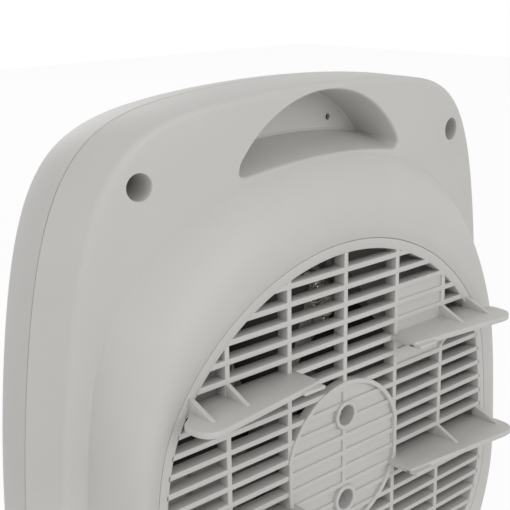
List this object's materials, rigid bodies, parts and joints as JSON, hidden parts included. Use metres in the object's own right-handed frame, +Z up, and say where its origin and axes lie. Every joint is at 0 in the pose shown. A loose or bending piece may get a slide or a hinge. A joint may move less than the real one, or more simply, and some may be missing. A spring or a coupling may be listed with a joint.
{
  "type": "bathroom wall fan heater",
  "caption": "Compact fan heater with a domed slatted rear inlet, stand-off brackets, carrying pocket, round front outlet and two control knobs.",
  "frame": {"origin": "centre of the bounding box on the surface that the feet stand on", "axes": "+Z up, -Y towards the warm air outlet, +Y towards the wall, +X to the right seen from the front"},
  "size_m": [0.25, 0.107, 0.306],
  "materials": {
    "casing": "matte",
    "knob": "satin",
    "steel": "satin",
    "dark_plastic": "matte",
    "mica": "matte",
    "heating_wire": "satin",
    "lens": "gloss",
    "rubber": "matte"
  },
  "bodies": {
    "housing": {"rear_cover": "casing", "rear_grille": "casing", "front_cover": "casing", "front_grille": "casing", "case_screw_upper_left": "steel", "case_screw_upper_right": "steel", "case_screw_lower_left": "steel", "case_screw_lower_right": "steel", "motor_screw_upper": "steel", "motor_screw_lower": "steel", "motor_cap": "steel", "motor_can": "steel", "heater_band": "steel", "heater_mica_level": "mica", "heater_mica_upright": "mica", "heating_coil": "heating_wire", "thermal_cutout": "dark_plastic", "thermostat_body": "dark_plastic", "selector_switch": "dark_plastic", "pilot_lens": "lens", "cord_inlet": "rubber", "foot_rear_left": "rubber", "foot_rear_right": "rubber", "foot_front_left": "rubber", "foot_front_right": "rubber"},
    "fan": {"motor_shaft": "steel", "fan_impeller": "dark_plastic", "fan_nut": "steel"},
    "thermostat": {"thermostat_knob": "knob", "thermostat_spindle": "steel"},
    "selector": {"selector_knob": "knob", "selector_spindle": "steel"}
  },
  "joints": [
    {"name": "fan_spin", "type": "hinge", "parent": "housing", "child": "fan", "pos_m": [0, -0.0065, 0.156], "axis": [0, -1, 0], "continuous": true},
    {"name": "thermostat_turn", "type": "hinge", "parent": "housing", "child": "thermostat", "pos_m": [-0.048, -0.0395, 0.264], "axis": [0, -1, 0], "range_deg": [-270, 0]},
    {"name": "selector_turn", "type": "hinge", "parent": "housing", "child": "selector", "pos_m": [0.048, -0.0395, 0.264], "axis": [0, -1, 0], "range_deg": [-135, 0]}
  ]
}
